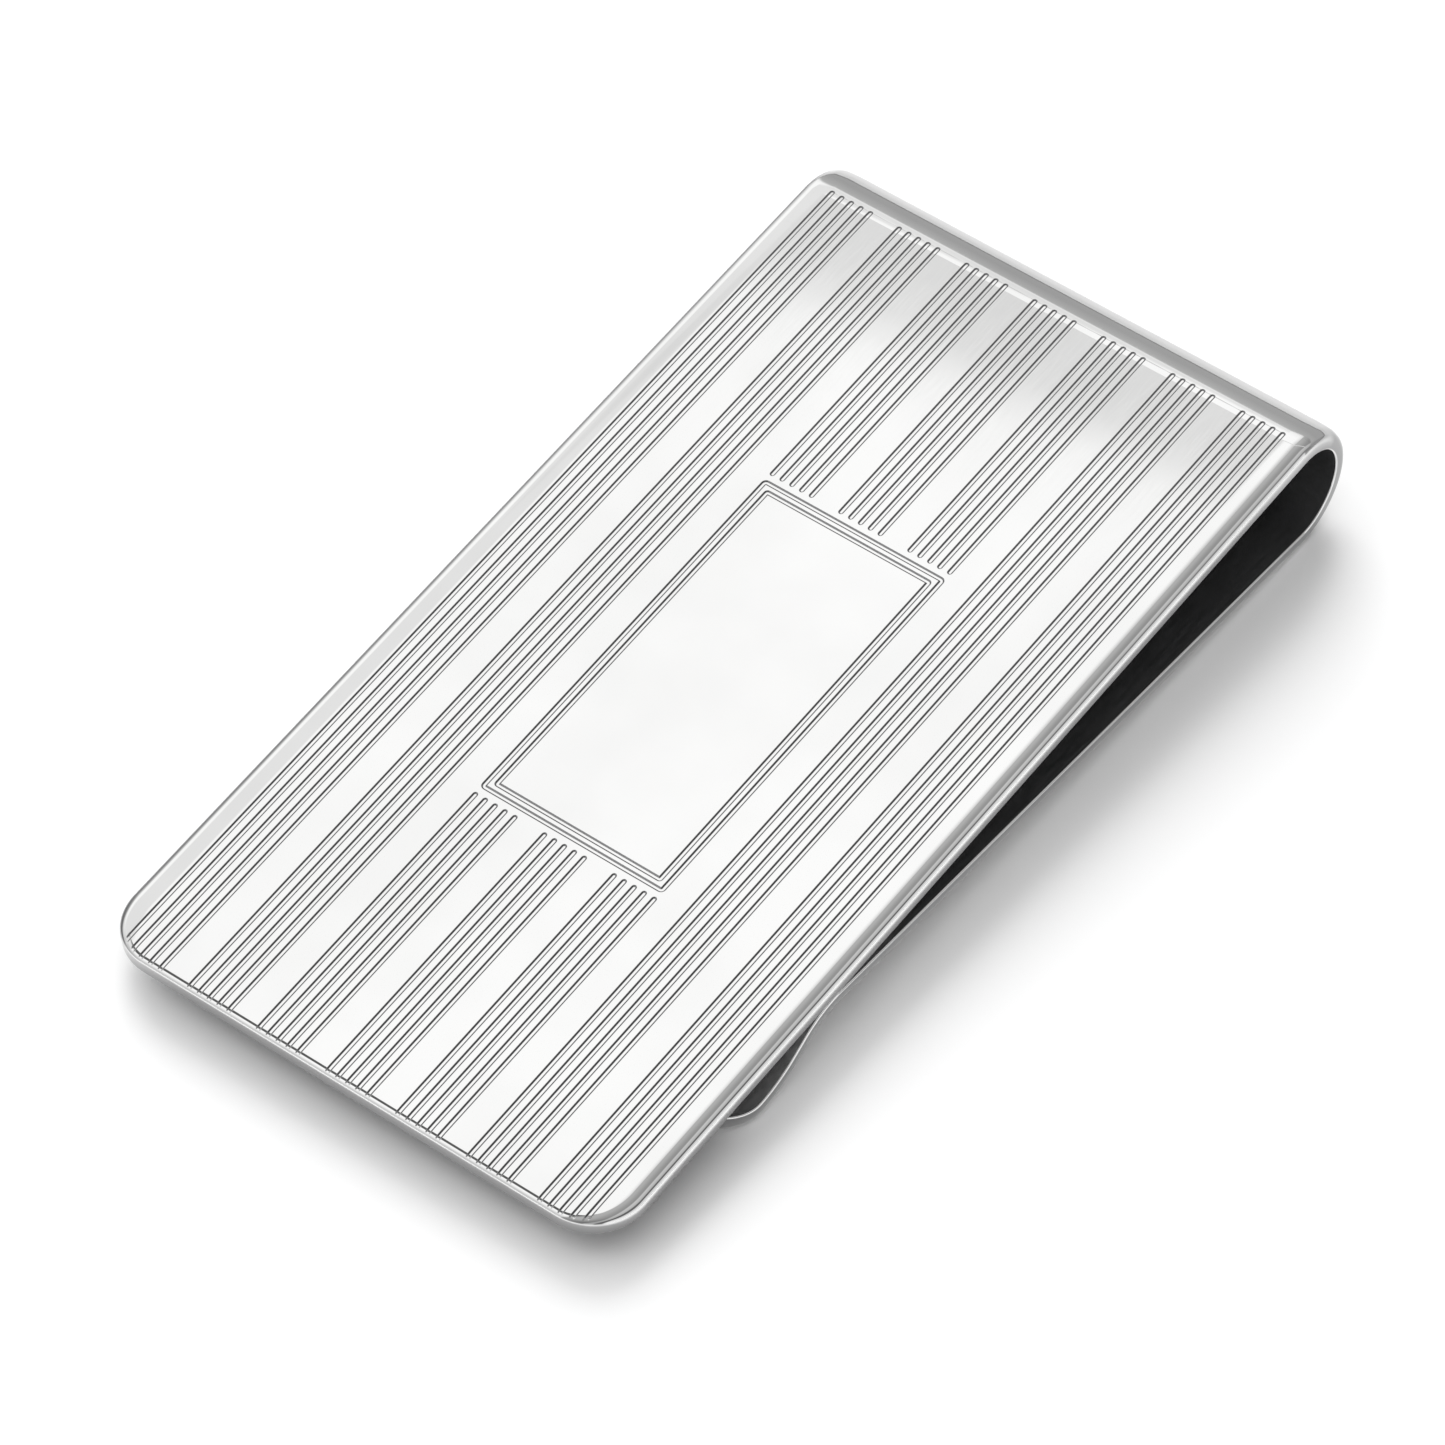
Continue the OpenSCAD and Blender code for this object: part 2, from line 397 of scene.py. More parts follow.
LINE_ROWS = line_rows()
FRAMES = [
    (PANEL_W / 2, PANEL_L / 2, FRAME_CORNER_R),
    (PANEL_W / 2 - FRAME_GAP, PANEL_L / 2 - FRAME_GAP, FRAME_CORNER_R / 2),
]


def engraved_depth(x, s):
    """Depth of the engraving at plan points."""
    nearest = np.full(len(x), FAR)
    for row_x, start, end in LINE_ROWS:
        past = s - np.clip(s, start, end)
        nearest = np.minimum(nearest, np.hypot(x - row_x, past))
    for half_x, half_s, radius in FRAMES:
        qx = np.abs(x) - (half_x - radius)
        qs = np.abs(s - PANEL_S) - (half_s - radius)
        signed = (np.hypot(np.maximum(qx, 0), np.maximum(qs, 0))
                  + np.minimum(np.maximum(qx, qs), 0) - radius)
        nearest = np.minimum(nearest, np.abs(signed))
    rise = np.clip((nearest - FLOOR_HALF) / (LIP_HALF - FLOOR_HALF), 0, 1)
    return LINE_DEPTH * (1 - rise * rise * (3 - 2 * rise))


def engraved_tilt(x, s):
    """Slopes of the engraving at plan points, along x and along s."""
    over_x = engraved_depth(x + NUDGE, s) - engraved_depth(x - NUDGE, s)
    over_s = engraved_depth(x, s + NUDGE) - engraved_depth(x, s - NUDGE)
    return over_x / NUDGE / 2, over_s / NUDGE / 2


def engraving_curves():
    """Plan curves that carry the mesh along the engraving: (points, closed)."""
    levels = [FLOOR_HALF + (LIP_HALF - FLOOR_HALF) * k / WALL_STEPS
              for k in range(WALL_STEPS + 1)]
    curves = []
    for x, start, end in LINE_ROWS:
        for level in levels:
            cap = [(x + level * math.cos(k / LINE_END_STEPS * math.pi),
                    level * math.sin(k / LINE_END_STEPS * math.pi))
                   for k in range(LINE_END_STEPS + 1)]
            top = [(px, end + ps) for px, ps in cap]
            if start == LINE_START:
                curves.append(([(x + level, start)] + top + [(x - level, start)], False))
            else:
                bottom = [(2 * x - px, start - ps) for px, ps in cap]
                curves.append((top + bottom, True))
    for half_x, half_s, radius in FRAMES:
        for level in levels:
            for side in (-1, 1):
                curves.append((frame_curve(half_x, half_s, radius, side * level), True))
    return curves


def frame_curve(half_x, half_s, radius, grow):
    """One round-cornered rectangle round the panel's middle, grown outwards."""
    turned = max(radius + grow, LEAST_R)
    points = []
    for corner, (sign_x, sign_s) in enumerate([(1, 1), (-1, 1), (-1, -1), (1, -1)]):
        for k in range(FRAME_CORNER_STEPS + 1):
            angle = (corner + k / FRAME_CORNER_STEPS) * math.pi / 2
            points.append((sign_x * (half_x + grow - turned) + turned * math.cos(angle),
                           PANEL_S + sign_s * (half_s + grow - turned) + turned * math.sin(angle)))
    return points


# ---- Meshing a piece of strip ------------------------------------------------------------------

MERGE = 1e-5             # plan points closer than this become one
OVERHANG = 1             # how far the mesh's rows run past the strip's sides


class Plan:
    """Points and lines for the constrained triangulation of a plan."""

    def __init__(self):
        self.points, self.lines = [], []

    def add(self, points, closed=False):
        """Adds a run of points with a line from each to the next."""
        first = len(self.points)
        self.points += [Vector(p) for p in points]
        count = len(points)
        self.lines += [(first + k, first + k + 1) for k in range(count - 1)]
        if closed:
            self.lines.append((first + count - 1, first))


def triangulate(plan, ring):
    """Triangles of a plan that lie inside a convex ring of points, with the points and, for
    each point, the plan's own points that it stands for."""
    points, _, faces, origin, _, _ = delaunay_2d_cdt(plan.points, plan.lines, [], 0, MERGE)
    spots = np.array([(p[0], p[1]) for p in points])
    corners = np.array(faces)
    middles = spots[corners].mean(axis=1)
    ring = np.array(ring)
    area = np.sum(ring[:, 0] * np.roll(ring[:, 1], -1) - ring[:, 1] * np.roll(ring[:, 0], -1))
    inside = np.ones(len(middles), bool)
    for start, end in zip(ring, np.roll(ring, -1, axis=0)):
        edge, reach = end - start, middles - start
        inside &= (edge[0] * reach[:, 1] - edge[1] * reach[:, 0]) * np.sign(area) > -TINY
    return spots, [tuple(f) for f in corners[inside].tolist()], origin


def plan_mesh(outline, rows, columns, curves):
    """Points of the outer face's plan, as x and s, and its triangles."""
    plan = Plan()
    half = outline.curve(0)
    ring = [(-x, s) for x, s in half] + list(reversed(half))
    plan.add(ring, closed=True)
    turns = [start + (end - start) * k / steps
             for (start, end, *_), steps in zip(RIM_ARCS, RIM_STEPS) for k in range(steps)]
    for turn in turns:
        half = outline.curve(rim_share(turn))
        mirrored = [(-x, s) for x, s in half]
        if outline.round_start:
            plan.add(list(reversed(mirrored)) + half)
        elif outline.round_end:
            plan.add(mirrored + list(reversed(half)))
        else:
            plan.add(mirrored)
            plan.add(half)
    for s in rows:
        plan.add([(-HALF_W - OVERHANG, s), (HALF_W + OVERHANG, s)])
    for x in columns:
        plan.add([(x, outline.start), (x, outline.end)])
    for points, closed in curves:
        plan.add(points, closed)
    points, triangles, _ = triangulate(plan, ring)
    used = sorted({k for triangle in triangles for k in triangle})
    renumber = {old: new for new, old in enumerate(used)}
    triangles = [tuple(renumber[k] for k in triangle) for triangle in triangles]
    return points[used, 0], points[used, 1], triangles


def border(triangles):
    """The one loop of points round a set of triangles, in the triangles' own direction."""
    edges = dict.fromkeys(edge for a, b, c in triangles for edge in ((a, b), (b, c), (c, a)))
    follow = {a: b for a, b in edges if (b, a) not in edges}
    loop = [next(iter(follow))]
    while follow[loop[-1]] != loop[0]:
        loop.append(follow[loop[-1]])
    return loop


class Layers:
    """Points of a piece of strip, layer under layer: plan places, heights over the outer face,
    normals as (x, s, out) and tones."""

    def __init__(self):
        self.x, self.s, self.h, self.normal, self.tone = [], [], [], [], []
        self.count = 0

    def add(self, x, s, h, normal, tone):
        """Adds a layer and gives the numbers of its points."""
        self.x.append(x)
        self.s.append(s)
        self.h.append(h)
        self.normal.append(normal)
        self.tone.append(tone)
        self.count += len(x)
        return np.arange(self.count - len(x), self.count)


def outer_layer(layers, outline, xs, ss, on_rim, engraved):
    """Adds the outer face with its rim and its engraving. Gives the ways out of the outline."""
    share = outline.share(xs, ss)
    share[on_rim] = 0
    turn = rim_turn(share)
    way_x, way_s, width = outline.outward(xs, ss)
    scale = width / RIM_SIDE_W
    height = -SKIN - rim_drop(turn) * scale
    tilt_x, tilt_s = np.zeros(len(xs)), np.zeros(len(xs))
    if engraved:
        keep = np.clip((share - RIM_CLEAR) / RIM_CLEAR_RUN, 0, 1)
        height = height - engraved_depth(xs, ss) * keep
        tilt_x, tilt_s = (tilt * keep for tilt in engraved_tilt(xs, ss))
    normal = np.stack([np.sin(turn) * way_x + np.cos(turn) * tilt_x,
                       np.sin(turn) * way_s + np.cos(turn) * tilt_s,
                       np.cos(turn)], axis=1)
    slope = np.hypot(tilt_x, tilt_s) / STEEPEST
    # The walls of the lines are painted darker as they steepen: painted shade for the dark
    # reflections in them.
    line_wall_shade = LINE_WALL_SHADE * np.clip(LINE_SHADE_RISE * slope, 0, 1)
    lines = np.maximum(edge_shade_line(turn, way_x * (share < 1)), line_wall_shade)
    # The tone of each point is the darkest of its painted shades: the dark lines, the line walls,
    # the fold and the cut wall.
    tone = np.maximum(lines, np.maximum(bend_shade(ss), wall_shade(turn)))
    layers.add(xs, ss, height, normal, tone)
    return way_x, way_s


def wall_levels():
    """Levels down the wall and round its inner edge: inset, height and turn of each."""
    levels = [(0.0, -SHEET_T + INNER_EDGE_R, 0.0)]
    for k in range(1, INNER_STEPS + 1):
        turn = k / INNER_STEPS * math.pi / 2
        levels.append((INNER_EDGE_R * (1 - math.cos(turn)),
                       -SHEET_T + INNER_EDGE_R * (1 - math.sin(turn)), turn))
    return levels


def wall_rings(layers, x, s, way_x, way_s):
    """Adds a ring of points for each level of the wall, under the rim's points x, s. Gives the
    numbers of each ring's points."""
    def even(value):
        return np.full(len(x), value)

    # Painted shade of each ring: the wall's foot, the inner edge, then the inner face.
    tones = [even(WALL_FOOT_TONE)] + [even(INNER_EDGE_TONE)] * (INNER_STEPS - 1) + [inner_shade(s)]
    rings = []
    for (inset, level, turn), tone in zip(wall_levels(), tones):
        normal = np.stack([math.cos(turn) * way_x, math.cos(turn) * way_s,
                           even(-math.sin(turn))], axis=1)
        rings.append(layers.add(x - way_x * inset, s - way_s * inset, even(level), normal, tone))
    return rings


def wall_faces(loop, on_rim, cuts, column_of, rings):
    """Faces of the wall, from ring to ring, under every edge of the loop that isn't a cut's."""
    faces = []
    for here, there in zip(loop, loop[1:] + loop[:1]):
        cut_edge = any(mask[here] and mask[there] for mask in cuts)
        if cut_edge or not (on_rim[here] and on_rim[there]):
            continue
        a, b = column_of[here], column_of[there]
        for upper, lower in zip(rings, rings[1:]):
            faces.append((int(upper[b]), int(upper[a]), int(lower[a]), int(lower[b])))
    return faces


def inner_faces(layers, rows, ring):
    """Triangles of the inner face, on the last ring's own points."""
    spots = list(zip(layers.x[-1], layers.s[-1]))
    plan = Plan()
    plan.add(spots, closed=True)
    for row in rows:
        pair = [k for k, (_, s) in enumerate(spots) if abs(s - row) < ON_CUT]
        if len(pair) == 2:
            plan.lines.append(tuple(pair))
    _, triangles, origin = triangulate(plan, spots)
    back = [int(ring[own[0]]) if own else -1 for own in origin]
    return [tuple(back[k] for k in reversed(triangle)) for triangle in triangles]


def cut_face(loop, mask, column_of, rings):
    """Flat face over a cut end, which the next piece of strip covers."""
    first = next(k for k in range(len(loop)) if mask[loop[k]] and not mask[loop[k - 1]])
    edge = [k for k in loop[first:] + loop[:first] if mask[k]]
    a, b = column_of[edge[0]], column_of[edge[-1]]
    down = [int(ring[a]) for ring in rings[1:]]
    up = [int(ring[b]) for ring in reversed(rings[1:])]
    return tuple([int(k) for k in reversed(edge)] + down + up)


def strip_piece(name, outline, rows, columns, curves=()):
    """Builds one closed piece of strip: outer face with its rim, wall, inner face and cut ends."""
    rows = sorted(rows)
    xs, ss, outer = plan_mesh(outline, rows, columns, curves)
    loop = border(outer)
    ends = ((outline.start, outline.round_start), (outline.end, outline.round_end))
    cuts = [np.abs(ss - place) < ON_CUT for place, free in ends if not free]
    on_rim = np.zeros(len(xs), bool)
    on_rim[loop] = True
    on_rim &= ~np.any(cuts, axis=0) | (np.abs(xs) > HALF_W - ON_CUT)

    layers = Layers()
    way_x, way_s = outer_layer(layers, outline, xs, ss, on_rim, bool(curves))
    rim = np.array([k for k in loop if on_rim[k]])
    column_of = {k: n for n, k in enumerate(rim.tolist())}
    rings = [rim] + wall_rings(layers, xs[rim], ss[rim], way_x[rim], way_s[rim])
    wall = wall_faces(loop, on_rim, cuts, column_of, rings)
    inner = inner_faces(layers, rows, rings[-1])
    caps = [cut_face(loop, mask, column_of, rings) for mask in cuts]
    slots = [0] * (len(outer) + len(wall)) + [1] * len(inner) + [0] * len(caps)
    return make_piece(name, layers, outer + wall + inner + caps, slots)


def make_piece(name, layers, faces, slots):
    """Mesh object of a piece of strip, laid along the side shape."""
    place, way, out = lay(*(np.concatenate(part) for part in (layers.x, layers.s, layers.h)))
    n = np.concatenate(layers.normal)
    normals = np.stack([n[:, 0],
                        n[:, 1] * way[:, 0] + n[:, 2] * out[:, 0],
                        n[:, 1] * way[:, 1] + n[:, 2] * out[:, 1]], axis=1)
    normals /= np.linalg.norm(normals, axis=1)[:, None]

    mesh = bpy.data.meshes.new(name)
    mesh.from_pydata(place.tolist(), [], faces)
    mesh.polygons.foreach_set("use_smooth", [True] * len(mesh.polygons))
    mesh.normals_split_custom_set_from_vertices(normals.tolist())
    # The tones, all painted shade, go to the materials in the edge attribute.
    edge = mesh.attributes.new("edge", "FLOAT", "POINT")
    edge.data.foreach_set("value", np.concatenate(layers.tone).astype(np.float32))
    mesh.polygons.foreach_set("material_index", slots)
    mesh.update()
    piece = bpy.data.objects.new(name, mesh)
    bpy.context.scene.collection.objects.link(piece)
    return piece


# ---- Materials ---------------------------------------------------------------------------------

PAINTED_SHADE_COLOUR = (0.16, 0.16, 0.165, 1)      # the painted shade colour that the silver goes to at tone 1
CLOUD_SCALE = 130                  # clouds of tarnished tone, per metre
CLOUD_DETAIL = 3
CLOUD_STOPS = (0.35, 0.65)         # noise values at which they are darkest and brightest
HAIR_SCALE = (9000, 260, 9000)     # hairline marks, per metre along x, y and z
HAIR_DETAIL = 2
HAIR_RANGE = (0.35, 0.75)          # noise values between which the roughness rises


def new_material(name):
    """A material with one principled shader: the material, its node tree and the shader."""
    material = bpy.data.materials.new(name)
    material.use_nodes = True
    tree = material.node_tree
    tree.nodes.clear()
    output = tree.nodes.new("ShaderNodeOutputMaterial")
    shader = tree.nodes.new("ShaderNodeBsdfPrincipled")
    tree.links.new(shader.outputs["BSDF"], output.inputs["Surface"])
    return material, tree, shader


def noise(tree, place, scale, detail):
    """Noise texture's value, from 0 to 1."""
    node = tree.nodes.new("ShaderNodeTexNoise")
    node.inputs["Scale"].default_value = scale
    node.inputs["Detail"].default_value = detail
    tree.links.new(place, node.inputs["Vector"])
    return node.outputs["Fac"]


def ramp(tree, value, stops):
    """Colour ramp of a value, through stops of (position, colour)."""
    node = tree.nodes.new("ShaderNodeValToRGB")
    elements = node.color_ramp.elements
    while len(elements) < len(stops):
        elements.new(0.5)
    for element, (position, colour) in zip(elements, stops):
        element.position = position
        element.color = (*colour, 1)
    tree.links.new(value, node.inputs["Fac"])
    return node.outputs["Color"]


def spread(tree, value, low, high, out_low, out_high):
    """A value from low to high, brought to the range from out_low to out_high."""
    node = tree.nodes.new("ShaderNodeMapRange")
    node.inputs["From Min"].default_value = low
    node.inputs["From Max"].default_value = high
    node.inputs["To Min"].default_value = out_low
    node.inputs["To Max"].default_value = out_high
    tree.links.new(value, node.inputs["Value"])
    return node.outputs["Result"]


def silver(name, bright, dark, rough_low, rough_high, ripple):
    """Silver with faint clouds of tarnished tone in its colour, darkened towards a painted shade
    colour by the mesh's "edge" attribute, which holds the tones of painted shade. Hairline
    polishing marks that run along the strip vary its roughness and give it a bump, ripple
    millimetres high."""
    material, tree, shader = new_material(name)
    shader.inputs["Metallic"].default_value = 1.0
    place = tree.nodes.new("ShaderNodeTexCoord").outputs["Object"]
    clouds = noise(tree, place, CLOUD_SCALE, CLOUD_DETAIL)
    clean = ramp(tree, clouds, list(zip(CLOUD_STOPS, (dark, bright))))
    # The edge attribute's tones darken the colour towards the painted shade colour.
    edge = tree.nodes.new("ShaderNodeAttribute")
    edge.attribute_name = "edge"
    shaded = tree.nodes.new("ShaderNodeMix")
    shaded.data_type = "RGBA"
    tree.links.new(edge.outputs["Fac"], shaded.inputs["Factor"])
    tree.links.new(clean, shaded.inputs["A"])
    shaded.inputs["B"].default_value = PAINTED_SHADE_COLOUR
    tree.links.new(shaded.outputs["Result"], shader.inputs["Base Color"])
    stretch = tree.nodes.new("ShaderNodeMapping")
    stretch.inputs["Scale"].default_value = HAIR_SCALE
    tree.links.new(place, stretch.inputs["Vector"])
    hair = noise(tree, stretch.outputs["Vector"], 1, HAIR_DETAIL)
    rough = spread(tree, hair, *HAIR_RANGE, rough_low, rough_high)
    tree.links.new(rough, shader.inputs["Roughness"])
    bump = tree.nodes.new("ShaderNodeBump")
    bump.inputs["Strength"].default_value = 1.0
    bump.inputs["Distance"].default_value = ripple * MM
    tree.links.new(hair, bump.inputs["Height"])
    tree.links.new(bump.outputs["Normal"], shader.inputs["Normal"])
    return material


ENGRAVED = silver("engraved_silver", (0.97, 0.97, 0.965), (0.92, 0.92, 0.915), 0.03, 0.06, 4e-6)
POLISHED = silver("polished_silver", (0.95, 0.95, 0.945), (0.88, 0.88, 0.875), 0.05, 0.12, 1e-5)
SATIN = silver("satin_inner_face", (0.78, 0.78, 0.78), (0.68, 0.68, 0.68), 0.45, 0.60, 1e-4)


# ---- The pieces --------------------------------------------------------------------------------

SPAN = 2.0               # rows across a straight stretch are this far apart
COLUMN_SPAN = 2.4        # and columns along a plain stretch this far
COLUMN_HALF = 5          # columns on each side of the middle one
BEND_STEP = math.radians(2)        # turn from row to row in a bend
SKIN_TURN = math.radians(12)       # the engraved piece runs this far round the fold
CORNER_CLEAR = 0.3       # from the plate's round corners to its first row


def rows_between(start, end, step):
    """Evenly spaced rows inside a stretch, about a step apart."""
    count = max(1, round((end - start) / step))
    return [start + (end - start) * k / count for k in range(1, count)]


plain_columns = [k * COLUMN_SPAN for k in range(-COLUMN_HALF, COLUMN_HALF + 1)]
skin_end = PLATE_END + SKIN_TURN * FOLD_R

engraved_rows = rows_between(CORNER_R + CORNER_CLEAR, PLATE_END, SPAN) + [PLATE_END]
engraved_rows += rows_between(PLATE_END, skin_end, FOLD_R * BEND_STEP)
plate = strip_piece("engraved_plate", Outline(0.0, skin_end, round_start=True),
                    engraved_rows, [], engraving_curves())
fold = strip_piece("fold_bend", Outline(skin_end, FOLD_END),
                   rows_between(skin_end, FOLD_END, FOLD_R * BEND_STEP), plain_columns)
leg = strip_piece("leg_strip", Outline(FOLD_END, LEG_END),
                  rows_between(FOLD_END, LEG_END, SPAN), plain_columns)
grip = strip_piece("grip_strip", Outline(LEG_END, GRIP_END),
                   rows_between(LEG_END, GRIP_END, GRIP_R * BEND_STEP), plain_columns)
ramp_strip = strip_piece("ramp_strip", Outline(GRIP_END, RAMP_END),
                         rows_between(GRIP_END, RAMP_END, RAMP_L / 2), plain_columns)
lip = strip_piece("lip_strip", Outline(RAMP_END, LIP_END, round_end=True),
                  rows_between(RAMP_END, LIP_END, CURL_R * BEND_STEP), plain_columns)

plate.data.materials.append(ENGRAVED)
for piece in (fold, leg, grip, ramp_strip, lip):
    piece.data.materials.append(POLISHED)
for piece in (plate, fold, leg, grip, ramp_strip, lip):
    piece.data.materials.append(SATIN)

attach(plate, "plate")
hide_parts("front_plate")

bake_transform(fold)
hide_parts("fold_upper", "fold_lower")

for piece, node in ((leg, "spring_leg"), (grip, "grip_bend"), (ramp_strip, "lip_ramp"),
                    (lip, "lip_curl")):
    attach(piece, "leg")
    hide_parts(node)


# ---- Floor, light and camera -------------------------------------------------------------------

FLOOR_HALF_L = 3.0                 # metres
FLOOR_STOPS = [(0.3, (0.93, 0.93, 0.93)), (0.7, (0.95, 0.95, 0.95))]
FLOOR_CLOUD_SCALE = 6              # clouds in its tone, per metre
FLOOR_CLOUD_DETAIL = 2
FLOOR_ROUGHNESS = 0.22
FLOOR_SPECULAR = 0.35


def make_floor():
    """A large pale table."""
    mesh = bpy.data.meshes.new("floor")
    k = FLOOR_HALF_L
    mesh.from_pydata([(-k, -k, 0), (k, -k, 0), (k, k, 0), (-k, k, 0)], [], [(0, 1, 2, 3)])
    floor = bpy.data.objects.new("floor", mesh)
    bpy.context.scene.collection.objects.link(floor)
    material, tree, shader = new_material("pale_table")
    place = tree.nodes.new("ShaderNodeTexCoord").outputs["Object"]
    clouds = noise(tree, place, FLOOR_CLOUD_SCALE, FLOOR_CLOUD_DETAIL)
    tree.links.new(ramp(tree, clouds, FLOOR_STOPS), shader.inputs["Base Color"])
    shader.inputs["Roughness"].default_value = FLOOR_ROUGHNESS
    shader.inputs["Specular IOR Level"].default_value = FLOOR_SPECULAR
    floor.data.materials.append(material)


# The studio as the polished metal sees it. Each edge is the range of a direction's x, y or z, or
# of its slanted x or y, over which one tone gives way to another.
TENT_TONE = 1.0                    # a white tent on the left
TENT_EDGE = (-0.27, -0.20)         # x at which it ends
SHADE_TONE = 0.45                  # the grey to the right of it, overhead
SHADE_FALL = (-0.15, 0.25)         # x over which that falls away
SHADE_END_TONE = 0.30
BAND_TONE = 0.62                   # a paler band
BAND_EDGE = (0.27, 0.33)           # x at which it starts
WALL_EDGE = (0.50, 0.56)           # x at which a dark wall starts
DARK_WALL_TONE = 0.20
DARK_WALL_BACK = (0.38, 0.46)      # y at which that wall turns paler
DARK_WALL_BACK_TONE = 0.36

SIDE_CARDS_EDGE = (0.68, 0.76)     # x at which two cards low on the right start
SIDE_CARDS_TOP = (0.5, 0.6)        # z at which they end
SIDE_CARDS_SPLIT = (0.5, 0.56)     # y at which the front one gives way to the back one
FRONT_CARD_TONE = 1.1
BACK_CARD_TONE = 0.4

LEFT_CARD_TONE = 0.80              # a pale card high on the left
LEFT_CARD_EDGE = (-0.572, -0.552)  # slanted x at which it ends
LEFT_CARD_FOOT = (0.54, 0.62)      # z at which it starts
LOW_LEFT_TONE = 0.40               # a grey card low on the left
LOW_LEFT_EDGE = (-0.93, -0.84)     # x at which it ends
LOW_LEFT_TOP = (0.35, 0.45)        # z at which it ends
BEHIND_TONE = 0.50                 # a grey card behind the clip
BEHIND_EDGE = (0.66, 0.72)         # y at which it starts
BEHIND_TOP = (0.54, 0.58)          # z at which it ends

GAP_TONE = 0.10                    # a dark gap in the tent, overhead on the left
GAP_FRONT = (-0.20, -0.15)         # y at which it starts and ends
GAP_BACK = (0.14, 0.18)
GAP_LEFT = (-0.60, -0.52)          # x at which it starts and ends
GAP_RIGHT = (-0.27, -0.20)
GAP_FOOT = (0.5, 0.6)              # z at which it starts
PATCH_TONE = 0.74                  # a narrow grey patch overhead, towards the back
PATCH_FRONT = (0.521, 0.528)       # slanted y at which it starts and ends
PATCH_BACK = (0.543, 0.546)
PATCH_FOOT = (0.7, 0.75)           # z at which it starts
GROUND_TONE = 0.3                  # the ground beyond the table
GROUND_TOP = (0.02, 0.07)          # z at which it ends

Y_SLANT = -0.246                   # how much of x goes into the slanted y
X_SLANT = -0.285                   # and of y into the slanted x


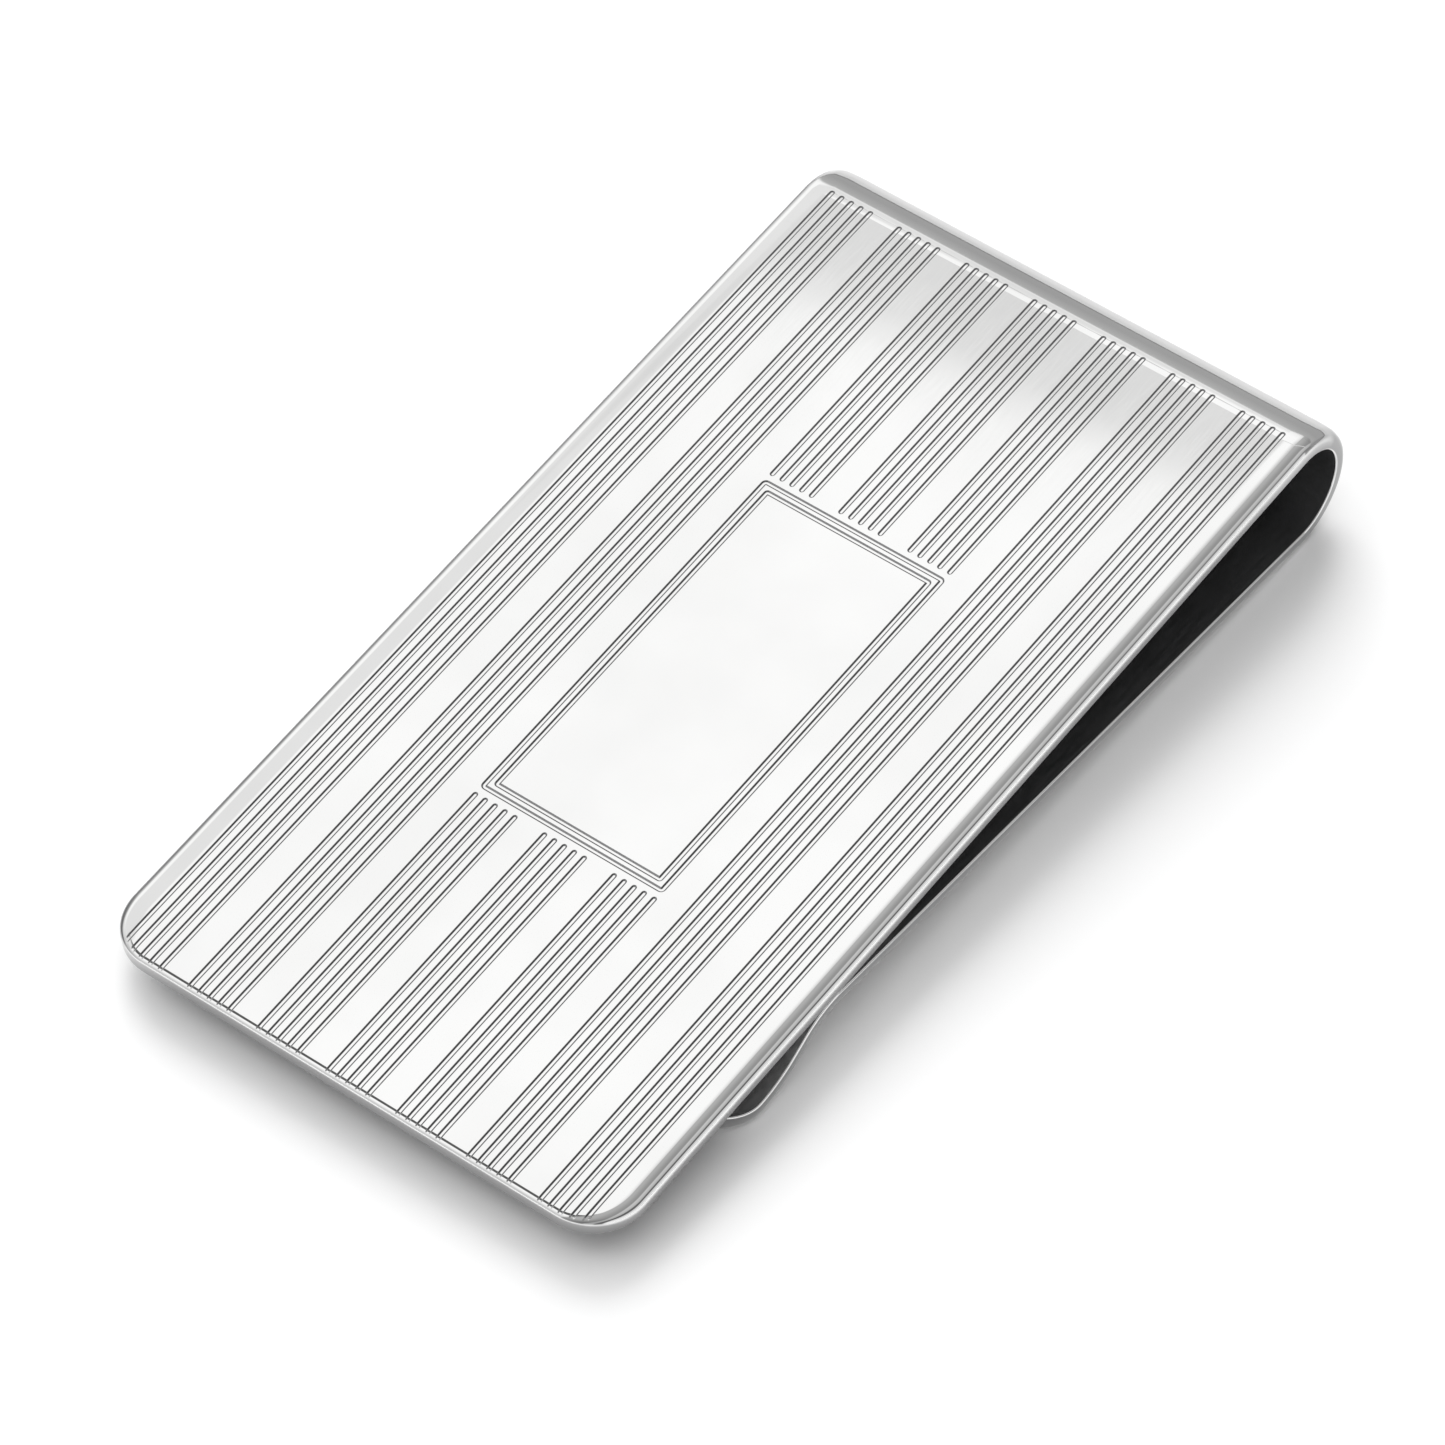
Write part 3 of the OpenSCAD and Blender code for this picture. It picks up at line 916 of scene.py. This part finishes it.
def make_sky():
    """The studio: a white tent on the left, a grey overhead that falls away to the right, a
    paler band and a dark wall there, and cards, a gap and a patch over those."""
    world = bpy.data.worlds.new("studio")
    bpy.context.scene.world = world
    world.use_nodes = True
    tree = world.node_tree
    tree.nodes.clear()
    output = tree.nodes.new("ShaderNodeOutputWorld")
    background = tree.nodes.new("ShaderNodeBackground")
    tree.links.new(background.outputs["Background"], output.inputs["Surface"])
    way = tree.nodes.new("ShaderNodeTexCoord").outputs["Generated"]
    split = tree.nodes.new("ShaderNodeSeparateXYZ")
    tree.links.new(way, split.inputs["Vector"])
    x, y, z = (split.outputs[k] for k in "XYZ")

    def step(value, edge, before, after):
        """The number before an edge and the number after it, with a smooth step between."""
        node = tree.nodes.new("ShaderNodeMapRange")
        node.interpolation_type = "SMOOTHSTEP"
        for socket, number in (("From Min", edge[0]), ("From Max", edge[1]),
                               ("To Min", before), ("To Max", after)):
            node.inputs[socket].default_value = number
        tree.links.new(value, node.inputs["Value"])
        return node.outputs["Result"]

    def above(value, edge):
        """1 where a value is above an edge, 0 where it is below."""
        return step(value, edge, 0, 1)

    def below(value, edge):
        """1 where a value is below an edge, 0 where it is above."""
        return step(value, edge, 1, 0)

    def mix(share, a, b):
        """a where the share is 0, b where it is 1."""
        node = tree.nodes.new("ShaderNodeMix")
        for socket, value in (("Factor", share), ("A", a), ("B", b)):
            if isinstance(value, float):
                node.inputs[socket].default_value = value
            else:
                tree.links.new(value, node.inputs[socket])
        return node.outputs["Result"]

    def times(a, b):
        """a * b."""
        node = tree.nodes.new("ShaderNodeMath")
        node.operation = "MULTIPLY"
        tree.links.new(a, node.inputs[0])
        tree.links.new(b, node.inputs[1])
        return node.outputs["Value"]

    def slant(value, share, other):
        """value + share * other."""
        node = tree.nodes.new("ShaderNodeMath")
        node.operation = "MULTIPLY_ADD"
        tree.links.new(other, node.inputs[0])
        node.inputs[1].default_value = share
        tree.links.new(value, node.inputs[2])
        return node.outputs["Value"]

    slanted_y = slant(y, Y_SLANT, x)
    slanted_x = slant(x, X_SLANT, y)

    dark_wall = mix(above(y, DARK_WALL_BACK), DARK_WALL_TONE, DARK_WALL_BACK_TONE)
    tone = mix(above(x, TENT_EDGE), TENT_TONE, SHADE_TONE)
    tone = mix(above(x, SHADE_FALL), tone, SHADE_END_TONE)
    tone = mix(above(x, BAND_EDGE), tone, BAND_TONE)
    tone = mix(above(x, WALL_EDGE), tone, dark_wall)

    side = times(above(x, SIDE_CARDS_EDGE), below(z, SIDE_CARDS_TOP))
    tone = mix(times(side, below(y, SIDE_CARDS_SPLIT)), tone, FRONT_CARD_TONE)
    tone = mix(times(side, above(y, SIDE_CARDS_SPLIT)), tone, BACK_CARD_TONE)
    left = times(below(slanted_x, LEFT_CARD_EDGE), above(z, LEFT_CARD_FOOT))
    tone = mix(left, tone, LEFT_CARD_TONE)
    low_left = times(below(x, LOW_LEFT_EDGE), below(z, LOW_LEFT_TOP))
    tone = mix(low_left, tone, LOW_LEFT_TONE)
    tone = mix(times(above(y, BEHIND_EDGE), below(z, BEHIND_TOP)), tone, BEHIND_TONE)

    gap = times(above(y, GAP_FRONT), below(y, GAP_BACK))
    gap = times(gap, times(below(x, GAP_RIGHT), above(x, GAP_LEFT)))
    tone = mix(times(gap, above(z, GAP_FOOT)), tone, GAP_TONE)
    patch = times(above(slanted_y, PATCH_FRONT), below(slanted_y, PATCH_BACK))
    tone = mix(times(patch, above(z, PATCH_FOOT)), tone, PATCH_TONE)
    tone = mix(below(z, GROUND_TOP), tone, GROUND_TONE)
    tree.links.new(tone, background.inputs["Color"])


# Place in metres, diameter in metres and energy in watts.
KEY_LIGHT = ((-0.40, 0.42, 0.42), 0.6, 3.2)
FILL_LIGHT = ((-0.1, -0.1, 1.0), 1.4, 4.8)


def soft_light(name, place, size, energy):
    """A round soft light aimed at the clip. The metal doesn't show it: it sees the tent."""
    data = bpy.data.lights.new(name, "AREA")
    data.shape = "DISK"
    data.size = size
    data.energy = energy
    light = bpy.data.objects.new(name, data)
    bpy.context.scene.collection.objects.link(light)
    light.location = place
    light.rotation_mode = "QUATERNION"
    light.rotation_quaternion = (-Vector(place)).to_track_quat("-Z", "Y")
    light.visible_glossy = False


AZIMUTH = math.radians(38.587)     # of the camera, from the clip's front round to its right
ELEVATION = math.radians(49.7226)  # over the table
ROLL = math.radians(-1.5322)       # turn about its own line of sight
TARGET = (-0.6175, -0.1174, 0.2486)  # the place it looks at, in millimetres
DISTANCE = 360.79                  # from there to the camera, in millimetres
SENSOR_W = 36                      # millimetres
LENS = 202.787                     # millimetres
NEAREST = 0.01                     # the camera's range, in metres
FURTHEST = 20


def make_camera():
    """The photograph's own point of view."""
    data = bpy.data.cameras.new("camera")
    data.sensor_width = SENSOR_W
    data.lens = LENS
    data.clip_start = NEAREST
    data.clip_end = FURTHEST
    camera = bpy.data.objects.new("camera", data)
    bpy.context.scene.collection.objects.link(camera)
    back = Vector((math.sin(AZIMUTH) * math.cos(ELEVATION),
                   -math.cos(AZIMUTH) * math.cos(ELEVATION), math.sin(ELEVATION)))
    level = Vector((math.cos(AZIMUTH), math.sin(AZIMUTH), 0))
    right = math.cos(ROLL) * level + math.sin(ROLL) * back.cross(level)
    turn = Matrix((right, back.cross(right), back)).transposed().to_4x4()
    turn.translation = (Vector(TARGET) + DISTANCE * back) * MM
    camera.matrix_world = turn
    bpy.context.scene.camera = camera


make_floor()
make_sky()
soft_light("key", *KEY_LIGHT)
soft_light("fill", *FILL_LIGHT)
make_camera()
bpy.context.scene.view_settings.view_transform = "Standard"
